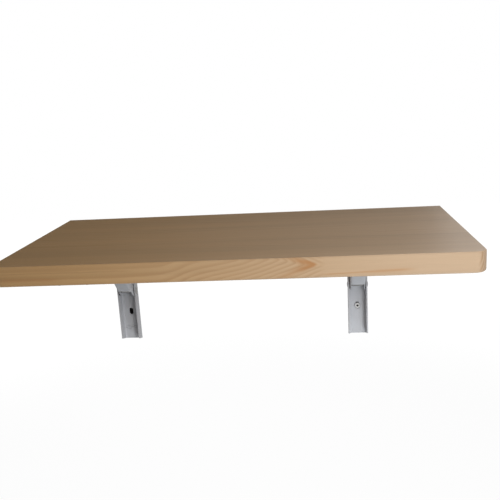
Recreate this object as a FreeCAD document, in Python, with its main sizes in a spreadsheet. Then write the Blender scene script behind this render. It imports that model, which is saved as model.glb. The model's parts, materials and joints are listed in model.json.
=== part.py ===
"""Wall mounted drop leaf table: a solid wooden leaf on two folding steel brackets.

Frame: +X to the right along the wall, -Y out from the wall, +Z up. The wall is the plane y = 0, and the
origin lies midway between the two upper wall holes. Lengths are in millimetres and angles in degrees.
"""
import FreeCAD, Part
import math
import os
import Sketcher

# Driving dimensions: name, value, meaning
DIMENSIONS = (
    ("top_length", 600, "leaf, along the wall"),
    ("top_depth", 300, "leaf, from back edge to front edge"),
    ("top_thickness", 26, "leaf, thickness"),
    ("top_corner", 16, "leaf, radius of the two front corners"),
    ("top_easing", 2, "leaf, rounding of the upper edges"),
    ("under_easing", 3, "leaf, rounding of the lower edges"),
    ("top_shift", 22, "middle of the leaf, right of the middle of the brackets"),
    ("wall_gap", 2, "back edge of the leaf to the wall"),
    ("bracket_spacing", 380, "middle to middle of the brackets"),
    ("steel", 2, "sheet thickness of leg, arm and brace"),
    ("bend", 2.5, "inner radius of the bends in the sheet"),
    ("side_play", 0.1, "play beside each washer, sleeve and rivet head"),
    ("running_play", 0.05, "radial play of a pin in its hole"),
    ("slot_play", 0.15, "play of the slide pin on each side of its slot"),
    ("leg_width", 31, "wall leg, outer width"),
    ("leg_depth", 20, "wall leg, wall to the flange edges"),
    ("leg_length", 180, "wall leg, height"),
    ("leg_corner", 10, "wall leg, radius of the upper flange corners"),
    ("leg_foot_corner", 2, "wall leg, radius of the lower flange corners"),
    ("leg_foot_slant", 5, "wall leg, how much shorter the flanges are at the front than at the wall"),
    ("leg_headroom", 1, "top of the wall leg to the arm above it"),
    ("upper_hole_drop", 52, "underside of the leaf to the upper wall hole"),
    ("hole_spacing", 83, "upper wall hole to the middle of the lower slot"),
    ("hole_diameter", 7, "wall hole, and width of the lower slot"),
    ("hole_slot_length", 12, "lower slot, end to end"),
    ("hinge_out", 11, "wall to the hinge pin"),
    ("hinge_drop", 24, "underside of the leaf to the hinge pin"),
    ("pivot_out", 14, "wall to the brace pin"),
    ("pivot_drop", 95, "underside of the leaf to the brace pin"),
    ("slide_drop", 12, "underside of the leaf to the slide pin, leaf level"),
    ("pin_diameter", 6, "hinge pin, brace pin and slide pin"),
    ("pin_head", 11, "rivet head, diameter"),
    ("pin_head_height", 2.4, "rivet head, height of the dome"),
    ("flat_head_height", 1.3, "brace pin, height of its low heads"),
    ("washer_diameter", 14, "nylon washers"),
    ("hinge_washer", 1.5, "washer between leg and arm, thickness"),
    ("brace_washer", 1, "washer between leg and brace, thickness"),
    ("sleeve_diameter", 10, "spacer sleeves on the slide pin"),
    ("brace_angle", 47, "brace above the horizontal, leaf level"),
    ("brace_lean", 4.5, "brace out from the vertical, leaf folded"),
    ("brace_radius", 9.2, "brace, radius of its ends and half its depth"),
    ("web_setback", 13.5, "brace, lower pin to the end of its web"),
    ("web_corner", 2, "brace, radius of the corners at the end of its web"),
    ("window_width", 12, "screwdriver window in the brace"),
    ("window_length", 20, "screwdriver window in the brace, along it"),
    ("fold_angle", 90, "turn of the leaf from level to folded"),
    ("arm_cheek", 7.5, "arm, metal round the hinge pin's centre"),
    ("arm_front_depth", 14, "arm, depth of its front end"),
    ("arm_front_corner", 6, "arm, radius of the front corners"),
    ("arm_taper_lead", 11, "start of the arm's taper, before the slot's far end"),
    ("arm_taper", 50, "length of the arm's taper"),
    ("arm_reach", 62, "front end of the arm, past the slot's far end"),
    ("catch_width", 12, "catch spring, width"),
    ("catch_strip", 1.2, "catch spring, thickness"),
    ("catch_fall", 3.2, "catch spring, fall from its pad to the ramp"),
    ("catch_ramp", 14, "catch spring, length of the ramp"),
    ("catch_hold", 2.2, "catch spring, how far its nose hangs beside the slide pin"),
    ("catch_gap", 0.3, "catch spring, nose to the slide pin"),
    ("catch_pad", 20, "catch spring, length of its riveted pad"),
    ("catch_inset", 7, "catch spring, pad to the front end of the arm"),
    ("tongue_width", 7, "finger tongue, width"),
    ("tongue_drop", 9, "finger tongue, how far it hangs"),
    ("tongue_length", 6, "finger tongue, length of its foot"),
    ("tongue_setback", 16, "finger tongue, behind the pad"),
    ("catch_rivet", 4, "catch rivets, shank diameter"),
    ("catch_rivet_head", 7.5, "catch rivets, head diameter"),
    ("catch_rivet_height", 1.4, "catch rivets, head height"),
    ("catch_rivet_pitch", 9, "catch rivets, middle to middle"),
    ("screw_diameter", 4.5, "arm screws, shank diameter"),
    ("screw_head", 8, "arm screws, head diameter"),
    ("screw_head_height", 2.6, "arm screws, head height"),
    ("screw_length", 18, "arm screws, under the head"),
    ("screw_tip", 4, "arm screws, length of the point"),
    ("screw_hole_play", 0.25, "radial play of an arm screw in the arm"),
    ("pilot_play", 0.05, "radial play of an arm screw in the wood"),
    ("pilot_spare", 1, "depth of a pilot hole past the screw's point"),
    ("screw_edge", 0.2, "arm screws, head to the bend of the arm"),
    ("screw_rear_out", 48, "rear arm screws, from the wall"),
    ("screw_front_inset", 33, "front arm screws, behind the front end of the arm"),
)
SIDES = (("left", -1), ("right", 1))
SLOT_SAMPLES = 13
TRIM_MARGIN = 5
LEVEL_TOLERANCE = 0.01


class Size:
    """A number together with the sheet expression that it comes from."""

    def __init__(self, value, text):
        self.value = float(value)
        self.text = text

    def __add__(self, other):
        other = as_size(other)
        return Size(self.value + other.value, f"({self.text} + {other.text})")

    def __sub__(self, other):
        other = as_size(other)
        return Size(self.value - other.value, f"({self.text} - {other.text})")

    def __rsub__(self, other):
        return as_size(other) - self

    def __mul__(self, other):
        other = as_size(other)
        return Size(self.value * other.value, f"({self.text} * {other.text})")

    def __truediv__(self, other):
        other = as_size(other)
        return Size(self.value / other.value, f"({self.text} / {other.text})")

    def __neg__(self):
        return Size(-self.value, f"(0 - {self.text})")

    __radd__ = __add__
    __rmul__ = __mul__


def as_size(number):
    """Wraps a plain number."""
    return number if isinstance(number, Size) else Size(number, f"({float(number)!r})")


def sine(angle):
    return Size(math.sin(math.radians(angle.value)), f"sin({angle.text} * 1 deg)")


def cosine(angle):
    return Size(math.cos(math.radians(angle.value)), f"cos({angle.text} * 1 deg)")


# Document and sheet
doc = FreeCAD.newDocument("drop_leaf_table")
sheet = doc.addObject("Spreadsheet::Sheet", "dims")
for row, (name, value, meaning) in enumerate(DIMENSIONS, start=1):
    sheet.set(f"A{row}", meaning)
    sheet.set(f"B{row}", str(value))
    sheet.setAlias(f"B{row}", name)
doc.recompute()
given = {name: Size(sheet.get(name), f"dims.{name}") for name, value, meaning in DIMENSIONS}
parts = []
ZERO = as_size(0)
steel = given["steel"]
bend = given["bend"]
side_play = given["side_play"]
pin_radius = given["pin_diameter"] / 2
pin_hole_radius = pin_radius + given["running_play"]

# Heights in the frame, z = 0 at the upper wall holes
underside = given["upper_hole_drop"]
hinge_height = underside - given["hinge_drop"]
pivot_height = underside - given["pivot_drop"]
slide_height = underside - given["slide_drop"]
leg_top = underside - steel - given["leg_headroom"]
leg_bottom = leg_top - given["leg_length"]
slot_height = -given["hole_spacing"]
web_face = underside - steel

# Widths across a bracket, from its middle plane
leg_half = given["leg_width"] / 2
leg_inner = leg_half - steel
brace_half = leg_inner - given["brace_washer"] - 2 * side_play
arm_inner = leg_half + given["hinge_washer"] + 2 * side_play
arm_half = arm_inner + steel

# Brace and the slide pin at its head, leaf level
brace_rise = given["pivot_drop"] - given["slide_drop"]
brace_length = brace_rise / sine(given["brace_angle"])
brace_tilt = 90 - given["brace_angle"]
brace_turn = given["brace_angle"] + 90 - given["brace_lean"]
slide_out = given["pivot_out"] + brace_length * cosine(given["brace_angle"])

# Arm and what is placed from the far end of its slot
hinge_to_pivot = given["pivot_drop"] - given["hinge_drop"]
slot_end_out = given["hinge_out"] + hinge_to_pivot + brace_length * cosine(given["brace_lean"])
arm_rear_out = given["hinge_out"] - given["arm_cheek"]
arm_depth = given["hinge_drop"] + given["arm_cheek"]
arm_front_out = slot_end_out + given["arm_reach"]
taper_start_out = slot_end_out - given["arm_taper_lead"]
taper_end_out = taper_start_out + given["arm_taper"]
catch_front_out = arm_front_out - given["catch_inset"]
catch_pad_out = catch_front_out - given["catch_pad"]
catch_rivet_out = catch_pad_out + (given["catch_pad"] - given["catch_rivet_pitch"]) / 2
catch_rivet_spots = (catch_rivet_out, catch_rivet_out + given["catch_rivet_pitch"])
screw_spots = (given["screw_rear_out"], arm_front_out - given["screw_front_inset"])
screw_offset = arm_inner - bend - given["screw_edge"] - given["screw_head"] / 2


def origin_feature(body, role):
    """Plane or axis of a body's own origin."""
    return next(feature for feature in body.Origin.OriginFeatures if feature.Role == role)


def new_body(label):
    body = doc.addObject("PartDesign::Body", label)
    body.Label = label
    parts.append(body)
    return body


def place(body, side, out=ZERO, height=ZERO):
    """Puts a body in the middle plane of the bracket on one side."""
    body.setExpression("Placement.Base.x", (given["bracket_spacing"] / 2 * side).text)
    body.setExpression("Placement.Base.y", (-out).text)
    body.setExpression("Placement.Base.z", height.text)


def new_sketch(body, name, role, offset=None):
    """Sketch on one of the body's origin planes, moved along the plane's normal by offset."""
    sketch = body.newObject("Sketcher::SketchObject", f"{body.Name}_{name}")
    sketch.AttachmentSupport = [(origin_feature(body, role), "")]
    sketch.MapMode = "FlatFace"
    if offset is not None:
        sketch.setExpression("AttachmentOffset.Base.z", offset.text)
    return sketch


def bind(sketch, kind, places, amount):
    """Adds a dimension whose value follows the sheet."""
    index = sketch.addConstraint(Sketcher.Constraint(kind, *places, amount.value))
    sketch.setExpression(f"Constraints[{index}]", amount.text)


def arc_between(start, end, radius, turn):
    """Arc of less than a half circle, to the left with turn 1 and to the right with turn -1."""
    chord = end - start
    rise = math.sqrt(max(radius ** 2 - chord.Length ** 2 / 4, 0))
    to_left = FreeCAD.Vector(-chord.y, chord.x, 0).normalize()
    centre = (start + end) / 2 + to_left * rise * turn
    angles = [math.atan2(point.y - centre.y, point.x - centre.x) for point in (start, end)]
    circle = Part.Circle(centre, FreeCAD.Vector(0, 0, 1), radius)
    return Part.ArcOfCircle(circle, *angles[::turn])


def draw_outline(sketch, corners):
    """Closed outline. A corner is (x, y), or (x, y, radius, turn) where an arc leaves it."""
    corners = [tuple(map(as_size, corner[:2])) + tuple(corner[2:]) for corner in corners]
    spots = [FreeCAD.Vector(corner[0].value, corner[1].value, 0) for corner in corners]
    drawn = []
    for index, corner in enumerate(corners):
        start = spots[index]
        end = spots[(index + 1) % len(spots)]
        if len(corner) == 2:
            drawn.append((sketch.addGeometry(Part.LineSegment(start, end), False), 1, 2))
            continue
        radius, turn = as_size(corner[2]), corner[3]
        edge = sketch.addGeometry(arc_between(start, end, radius.value, turn), False)
        bind(sketch, "Radius", (edge,), radius)
        drawn.append((edge, 1, 2) if turn == 1 else (edge, 2, 1))
    for index, (edge, head, tail) in enumerate(drawn):
        before, _, before_tail = drawn[index - 1]
        sketch.addConstraint(Sketcher.Constraint("Coincident", before, before_tail, edge, head))
        bind(sketch, "DistanceX", (-1, 1, edge, head), corners[index][0])
        bind(sketch, "DistanceY", (-1, 1, edge, head), corners[index][1])


def draw_circle(sketch, across, up, radius):
    across, up = as_size(across), as_size(up)
    centre = FreeCAD.Vector(across.value, up.value, 0)
    edge = sketch.addGeometry(Part.Circle(centre, FreeCAD.Vector(0, 0, 1), radius.value), False)
    bind(sketch, "DistanceX", (-1, 1, edge, 3), across)
    bind(sketch, "DistanceY", (-1, 1, edge, 3), up)
    bind(sketch, "Radius", (edge,), radius)


def oblong(across, up, width, length):
    """Corners of an upright slot with round ends."""
    half = width / 2
    straight = length / 2 - half
    return [
        (across - half, up - straight, half, 1),
        (across, up - straight - half, half, 1),
        (across + half, up - straight),
        (across + half, up + straight, half, 1),
        (across, up + straight + half, half, 1),
        (across - half, up + straight),
    ]


def rectangle(left, right, low, high):
    return [(left, low), (right, low), (right, high), (left, high)]


def pad(body, sketch, length, side_type="One side"):
    feature = body.newObject("PartDesign::Pad", f"{sketch.Name}_pad")
    feature.Profile = sketch
    feature.SideType = side_type
    feature.setExpression("Length", length.text)
    return feature


def cut_through(body, sketch):
    """Cuts right through the body, on both sides of the sketch."""
    feature = body.newObject("PartDesign::Pocket", f"{sketch.Name}_cut")
    feature.Profile = sketch
    feature.SideType = "Symmetric"
    feature.Type = "ThroughAll"
    return feature


def revolve(body, sketch, role):
    feature = body.newObject("PartDesign::Revolution", f"{sketch.Name}_turned")
    feature.Profile = sketch
    feature.ReferenceAxis = (origin_feature(body, role), [""])
    feature.Angle = 360
    return feature


def mirror_across(body, feature):
    """Repeats a feature on the other side of the bracket's middle plane."""
    mirrored = body.newObject("PartDesign::Mirrored", f"{feature.Name}_mirrored")
    mirrored.Originals = [feature]
    mirrored.MirrorPlane = (origin_feature(body, "YZ_Plane"), [""])
    body.Tip = mirrored


def channel_section(sketch, half, depth, face, towards):
    """U section of bent sheet: the web's outer face is at face, and the flanges run towards +y or -y."""
    inner = half - steel
    outer_bend = bend + steel

    def spot(across, into, *arc):
        return (across, face + towards * into) + arc

    draw_outline(sketch, [
        spot(-half, depth),
        spot(-inner, depth),
        spot(-inner, steel + bend, bend, towards),
        spot(bend - inner, steel),
        spot(inner - bend, steel, bend, towards),
        spot(inner, steel + bend),
        spot(inner, depth),
        spot(half, depth),
        spot(half, outer_bend, outer_bend, -towards),
        spot(half - outer_bend, ZERO),
        spot(outer_bend - half, ZERO, outer_bend, -towards),
        spot(-half, outer_bend),
    ])


def trim_to_side(body, outline, left, right, low, high):
    """Leaves only what lies inside the outline, seen from the side."""
    sketch = new_sketch(body, "side", "YZ_Plane")
    draw_outline(sketch, rectangle(
        left - TRIM_MARGIN, right + TRIM_MARGIN, low - TRIM_MARGIN, high + TRIM_MARGIN,
    ))
    draw_outline(sketch, outline)
    cut_through(body, sketch)


def round_level_edges(body, base, height, radius, name):
    """Rounds the edges of the base that lie level at a height."""
    doc.recompute()
    level = [
        f"Edge{index}" for index, edge in enumerate(base.Shape.Edges, start=1)
        if abs(edge.BoundBox.ZMin - height.value) < LEVEL_TOLERANCE
        and abs(edge.BoundBox.ZMax - height.value) < LEVEL_TOLERANCE
    ]
    easing = body.newObject("PartDesign::Fillet", name)
    easing.Base = (base, level)
    easing.setExpression("Radius", radius.text)


def make_tabletop():
    """Wooden leaf with round front corners, eased edges and pilot holes for the arm screws."""
    body = new_body("tabletop")
    half = given["top_length"] / 2
    left = given["top_shift"] - half
    right = given["top_shift"] + half
    back = -given["wall_gap"]
    front = back - given["top_depth"]
    corner = given["top_corner"]
    sketch = new_sketch(body, "plan", "XY_Plane", underside)
    draw_outline(sketch, [
        (left, front + corner, corner, 1),
        (left + corner, front),
        (right - corner, front, corner, 1),
        (right, front + corner),
        (right, back),
        (left, back),
    ])
    board = pad(body, sketch, given["top_thickness"])
    round_level_edges(body, board, underside, given["under_easing"], "tabletop_under_easing")
    upper_face = underside + given["top_thickness"]
    round_level_edges(body, body.Tip, upper_face, given["top_easing"], "tabletop_easing")
    pilots = new_sketch(body, "pilots", "XY_Plane", underside)
    for name, side in SIDES:
        for out in screw_spots:
            for across in (-screw_offset, screw_offset):
                draw_circle(pilots, given["bracket_spacing"] / 2 * side + across, -out,
                            given["screw_diameter"] / 2 + given["pilot_play"])
    holes = body.newObject("PartDesign::Pocket", "tabletop_pilot_holes")
    holes.Profile = pilots
    holes.Reversed = True
    holes.setExpression("Length", (given["screw_length"] - steel + given["pilot_spare"]).text)


def make_wall_leg(label, side):
    """U channel against the wall, open to the room, with a round hole and an upright slot for screws."""
    body = new_body(label)
    place(body, side)
    section = new_sketch(body, "section", "XY_Plane", leg_bottom)
    channel_section(section, leg_half, given["leg_depth"], ZERO, -1)
    pad(body, section, given["leg_length"])
    edge = -given["leg_depth"]
    corner = given["leg_corner"]
    foot = given["leg_foot_corner"]
    front_foot = leg_bottom + given["leg_foot_slant"]
    outline = [
        (edge + foot, front_foot),
        (-steel, leg_bottom),
        (ZERO, leg_bottom),
        (ZERO, leg_top),
        (edge + corner, leg_top, corner, 1),
        (edge, leg_top - corner),
        (edge, front_foot + foot, foot, 1),
    ]
    trim_to_side(body, outline, edge, ZERO, leg_bottom, leg_top)
    pins = new_sketch(body, "pin_holes", "YZ_Plane")
    draw_circle(pins, -given["hinge_out"], hinge_height, pin_hole_radius)
    draw_circle(pins, -given["pivot_out"], pivot_height, pin_hole_radius)
    cut_through(body, pins)
    screws = new_sketch(body, "wall_holes", "XZ_Plane")
    draw_circle(screws, ZERO, ZERO, given["hole_diameter"] / 2)
    draw_outline(screws, oblong(ZERO, slot_height, given["hole_diameter"], given["hole_slot_length"]))
    cut_through(body, screws)


def guide_point(fold):
    """Where the slide pin is in the arm, as (y, z) with the arm level, once the leaf has folded."""
    share = fold / given["fold_angle"].value
    lean = math.radians(90 + given["brace_angle"].value - share * brace_turn.value)
    out = given["pivot_out"].value - given["hinge_out"].value + brace_length.value * math.sin(lean)
    up = -hinge_to_pivot.value - brace_length.value * math.cos(lean)
    turn = math.radians(fold)
    along = out * math.cos(turn) - up * math.sin(turn)
    above = out * math.sin(turn) + up * math.cos(turn)
    return FreeCAD.Vector(-given["hinge_out"].value - along, hinge_height.value + above, 0)


def draw_guide_slot(sketch):
    """Slot that follows the slide pin's path through the fold, with round ends."""
    half = pin_radius.value + given["slot_play"].value
    step = given["fold_angle"].value / (SLOT_SAMPLES - 1)
    small = step / 100
    sides = ([], [])
    for index in range(SLOT_SAMPLES):
        fold = index * step
        along = (guide_point(fold + small) - guide_point(fold - small)).normalize()
        across = FreeCAD.Vector(-along.y, along.x, 0) * half
        sides[0].append(guide_point(fold) + across)
        sides[1].append(guide_point(fold) - across)
    for points in sides:
        curve = Part.BSplineCurve()
        curve.interpolate(points)
        edge = sketch.addGeometry(curve, False)
        sketch.addConstraint(Sketcher.Constraint("Block", edge))
    ends = ((0, sides[0][0], sides[1][0], -1), (given["fold_angle"].value, sides[0][-1], sides[1][-1], 1))
    for fold, start, end, outward in ends:
        centre = guide_point(fold)
        along = (guide_point(fold + small) - guide_point(fold - small)).normalize()
        arc = Part.Arc(start, centre + along * half * outward, end)
        edge = sketch.addGeometry(arc, False)
        sketch.addConstraint(Sketcher.Constraint("Block", edge))


def make_arm(label, side):
    """U channel under the leaf, open downwards, with the curved slots that guide the brace."""
    body = new_body(label)
    place(body, side)
    section = new_sketch(body, "section", "XZ_Plane", arm_rear_out)
    channel_section(section, arm_half, arm_depth, underside, -1)
    pad(body, section, arm_front_out - arm_rear_out)
    cheek = given["arm_cheek"]
    low = underside - arm_depth
    front_low = underside - given["arm_front_depth"]
    corner = given["arm_front_corner"]
    outline = [
        (-arm_front_out, underside),
        (-arm_front_out, front_low + corner, corner, 1),
        (corner - arm_front_out, front_low),
        (-taper_end_out, front_low),
        (-taper_start_out, low),
        (-given["hinge_out"], low, cheek, 1),
        (-arm_rear_out, hinge_height),
        (-arm_rear_out, underside),
    ]
    trim_to_side(body, outline, -arm_front_out, -arm_rear_out, low, underside)
    pins = new_sketch(body, "pin_holes", "YZ_Plane")
    draw_circle(pins, -given["hinge_out"], hinge_height, pin_hole_radius)
    cut_through(body, pins)
    slot = new_sketch(body, "guide_slot", "YZ_Plane")
    draw_guide_slot(slot)
    cut_through(body, slot)
    holes = new_sketch(body, "web_holes", "XY_Plane")
    for out in screw_spots:
        for across in (-screw_offset, screw_offset):
            draw_circle(holes, across, -out, given["screw_diameter"] / 2 + given["screw_hole_play"])
    for out in catch_rivet_spots:
        draw_circle(holes, ZERO, -out, given["catch_rivet"] / 2 + given["running_play"])
    cut_through(body, holes)


def make_brace(label, side):
    """U channel link with round ends, its web to the front and below, drawn upright about its lower pin.

    The web stops short of the lower pin, so that only the two cheeks reach into the wall leg.
    """
    body = new_body(label)
    place(body, side, given["pivot_out"], pivot_height)
    body.Placement.Rotation = FreeCAD.Rotation(FreeCAD.Vector(1, 0, 0), brace_tilt.value)
    body.setExpression("Placement.Rotation.Angle", brace_tilt.text)
    radius = given["brace_radius"]
    section = new_sketch(body, "section", "XY_Plane", -radius)
    channel_section(section, brace_half, 2 * radius, -radius, 1)
    pad(body, section, brace_length + 2 * radius)
    outline = [
        (-radius, ZERO, radius, 1),
        (ZERO, -radius, radius, 1),
        (radius, ZERO),
        (radius, brace_length, radius, 1),
        (ZERO, brace_length + radius, radius, 1),
        (-radius, brace_length),
    ]
    trim_to_side(body, outline, -radius, radius, -radius, brace_length + radius)
    pins = new_sketch(body, "pin_holes", "YZ_Plane")
    draw_circle(pins, ZERO, ZERO, pin_hole_radius)
    draw_circle(pins, ZERO, brace_length, pin_hole_radius)
    cut_through(body, pins)
    inner = brace_half - steel
    setback = given["web_setback"]
    corner = given["web_corner"]
    foot = new_sketch(body, "web_end", "XZ_Plane")
    draw_outline(foot, [
        (-inner, -radius - TRIM_MARGIN),
        (inner, -radius - TRIM_MARGIN),
        (inner, setback - corner, corner, 1),
        (inner - corner, setback),
        (corner - inner, setback, corner, 1),
        (-inner, setback - corner),
    ])
    cut_through(body, foot)
    window_along = (radius * sine(brace_tilt) - pivot_height) / cosine(brace_tilt)
    window = new_sketch(body, "window", "XZ_Plane")
    draw_outline(window, oblong(ZERO, window_along, given["window_width"], given["window_length"]))
    cut_through(body, window)


def make_cross_rivet(label, side, out, height, grip, head_height):
    """Rivet across a bracket, with a domed head at each end; grip is half the length between the heads."""
    body = new_body(label)
    place(body, side, out, height)
    head = given["pin_head"] / 2
    dome = (head * head + head_height * head_height) / (2 * head_height)
    sketch = new_sketch(body, "section", "XY_Plane")
    draw_outline(sketch, [
        (-grip - head_height, ZERO, dome, -1),
        (-grip, head),
        (-grip, pin_radius),
        (grip, pin_radius),
        (grip, head, dome, -1),
        (grip + head_height, ZERO),
    ])
    revolve(body, sketch, "X_Axis")


def make_ring_pair(label, side, out, height, start, thickness, diameter):
    """Two equal rings on a cross pin, one on each side of the bracket's middle plane."""
    body = new_body(label)
    place(body, side, out, height)
    sketch = new_sketch(body, "section", "XY_Plane")
    draw_outline(sketch, rectangle(start, start + thickness, pin_hole_radius, diameter / 2))
    mirror_across(body, revolve(body, sketch, "X_Axis"))


def make_catch_spring(label, side):
    """Spring strip riveted under the arm: its nose holds the slide pin, and a tongue takes a finger."""
    body = new_body(label)
    place(body, side)
    strip = given["catch_strip"]
    low = web_face - given["catch_fall"]
    nose_out = slide_out + pin_radius + given["catch_gap"]
    nose_low = slide_height + pin_radius - given["catch_hold"]
    ramp_out = nose_out + given["catch_ramp"]
    profile = new_sketch(body, "profile", "YZ_Plane")
    draw_outline(profile, [
        (-catch_front_out, web_face),
        (-catch_front_out, web_face - strip),
        (-catch_pad_out, web_face - strip),
        (-ramp_out, low - strip),
        (-nose_out, nose_low),
        (-nose_out, nose_low + strip),
        (-ramp_out, low),
        (-catch_pad_out, web_face),
    ])
    pad(body, profile, given["catch_width"], "Symmetric")
    tongue_out = catch_pad_out - given["tongue_setback"]
    tongue_low = web_face - strip - given["tongue_drop"]
    window = new_sketch(body, "tongue_window", "XY_Plane")
    half = given["tongue_width"] / 2
    draw_outline(window, rectangle(-half, half, -catch_pad_out, -tongue_out - strip))
    cut_through(body, window)
    share = (catch_pad_out - tongue_out) / (catch_pad_out - ramp_out)
    tongue_top = web_face - strip - share * given["catch_fall"]
    tongue = new_sketch(body, "tongue", "YZ_Plane")
    draw_outline(tongue, [
        (-tongue_out, tongue_top + strip / 2),
        (-tongue_out - strip, tongue_top + strip / 2),
        (-tongue_out - strip, tongue_low + strip),
        (-tongue_out - given["tongue_length"], tongue_low + strip),
        (-tongue_out - given["tongue_length"], tongue_low),
        (-tongue_out, tongue_low),
    ])
    pad(body, tongue, given["tongue_width"], "Symmetric")
    holes = new_sketch(body, "rivet_holes", "XY_Plane")
    for out in catch_rivet_spots:
        draw_circle(holes, ZERO, -out, given["catch_rivet"] / 2 + given["running_play"])
    cut_through(body, holes)


def make_catch_rivets(label, side):
    """Two rivets, flush with the top of the arm, that hold the catch spring's pad."""
    body = new_body(label)
    place(body, side, catch_rivet_out)
    shank = given["catch_rivet"] / 2
    head = given["catch_rivet_head"] / 2
    tall = given["catch_rivet_height"]
    seat = web_face - given["catch_strip"]
    dome = (head * head + tall * tall) / (2 * tall)
    sketch = new_sketch(body, "section", "XZ_Plane")
    draw_outline(sketch, [
        (ZERO, seat - tall, dome, 1),
        (head, seat),
        (shank, seat),
        (shank, underside),
        (ZERO, underside),
    ])
    rivet = revolve(body, sketch, "Z_Axis")
    row = body.newObject("PartDesign::LinearPattern", f"{label}_row")
    row.Originals = [rivet]
    row.Direction = (origin_feature(body, "Y_Axis"), [""])
    row.Reversed = True
    row.setExpression("Length", given["catch_rivet_pitch"].text)
    row.Occurrences = len(catch_rivet_spots)
    body.Tip = row


def make_arm_screws(label, side):
    """Four round head wood screws, from below through the arm into the leaf."""
    body = new_body(label)
    place(body, side, screw_spots[0])
    shank = given["screw_diameter"] / 2
    head = given["screw_head"] / 2
    tall = given["screw_head_height"]
    dome = (head * head + tall * tall) / (2 * tall)
    tip = web_face + given["screw_length"]
    middle = screw_offset
    plane = new_sketch(body, "section", "XZ_Plane")
    draw_outline(plane, [
        (middle, web_face - tall, dome, 1),
        (middle + head, web_face),
        (middle + shank, web_face),
        (middle + shank, tip - given["screw_tip"]),
        (middle, tip),
    ])
    axis = plane.addGeometry(Part.LineSegment(
        FreeCAD.Vector(middle.value, tip.value, 0), FreeCAD.Vector(middle.value, web_face.value, 0)), True)
    for end, height in ((1, tip), (2, web_face)):
        bind(plane, "DistanceX", (-1, 1, axis, end), middle)
        bind(plane, "DistanceY", (-1, 1, axis, end), height)
    screw = body.newObject("PartDesign::Revolution", f"{label}_turned")
    screw.Profile = plane
    screw.ReferenceAxis = (plane, ["Axis0"])
    screw.Angle = 360
    row = body.newObject("PartDesign::LinearPattern", f"{label}_row")
    row.Direction = (origin_feature(body, "Y_Axis"), [""])
    row.Reversed = True
    row.setExpression("Length", (screw_spots[1] - screw_spots[0]).text)
    row.Occurrences = len(screw_spots)
    pair = body.newObject("PartDesign::Mirrored", f"{label}_pair")
    pair.MirrorPlane = (origin_feature(body, "YZ_Plane"), [""])
    group = body.newObject("PartDesign::MultiTransform", f"{label}_group")
    group.Originals = [screw]
    group.Transformations = [row, pair]
    body.Tip = group


def make_bracket(name, side):
    """One folding bracket: wall leg, arm, brace, their pins and washers, the catch and the arm's screws."""
    hinge = (given["hinge_out"], hinge_height)
    pivot = (given["pivot_out"], pivot_height)
    slide = (slide_out, slide_height)
    make_wall_leg(f"{name}_wall_leg", side)
    make_arm(f"{name}_arm", side)
    make_brace(f"{name}_brace", side)
    make_cross_rivet(f"{name}_hinge_pin", side, *hinge, arm_half + side_play, given["pin_head_height"])
    make_cross_rivet(f"{name}_brace_pin", side, *pivot, leg_half + side_play, given["flat_head_height"])
    make_cross_rivet(f"{name}_slide_pin", side, *slide, arm_half + side_play, given["pin_head_height"])
    make_ring_pair(f"{name}_hinge_washers", side, *hinge, leg_half + side_play,
                   given["hinge_washer"], given["washer_diameter"])
    make_ring_pair(f"{name}_brace_washers", side, *pivot, brace_half + side_play,
                   given["brace_washer"], given["washer_diameter"])
    make_ring_pair(f"{name}_slide_sleeves", side, *slide, brace_half + side_play,
                   arm_inner - brace_half - 2 * side_play, given["sleeve_diameter"])
    make_catch_spring(f"{name}_catch_spring", side)
    make_catch_rivets(f"{name}_catch_rivets", side)
    make_arm_screws(f"{name}_arm_screws", side)


def check_document():
    """Stops if any object failed or any sub-part has no sound shape."""
    for item in doc.Objects:
        if "Invalid" in item.State or "Error" in item.State:
            raise RuntimeError(f"{item.Name} failed to build: {item.State}")
    for body in parts:
        if body.Shape.isNull() or not body.Shape.isValid():
            raise RuntimeError(f"{body.Label} has no sound shape")


make_tabletop()
for side_name, side_sign in SIDES:
    make_bracket(side_name, side_sign)
doc.recompute()
check_document()
os.makedirs("parts", exist_ok=True)
for part in parts:
    part.Shape.exportStep(os.path.join("parts", f"{part.Label}.step"))
ratio = brace_turn.value / given["fold_angle"].value
print(f"{len(parts)} sub-parts, brace turns {ratio:.6f} times the leaf")
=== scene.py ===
"""Looks of a wall mounted drop leaf table: a pine leaf on two folding brackets of painted steel.

Pieces are in metres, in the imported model's frame: +Z is up, the wall is the plane Y = 0 and the room lies
on its -Y side. Finishes measure in millimetres of that frame.
"""
import json
import math

import bmesh
import bpy
from bpy.props import FloatProperty, FloatVectorProperty, PointerProperty
from bpy.types import Operator, Panel, PropertyGroup
from mathutils import Matrix, Vector


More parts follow.
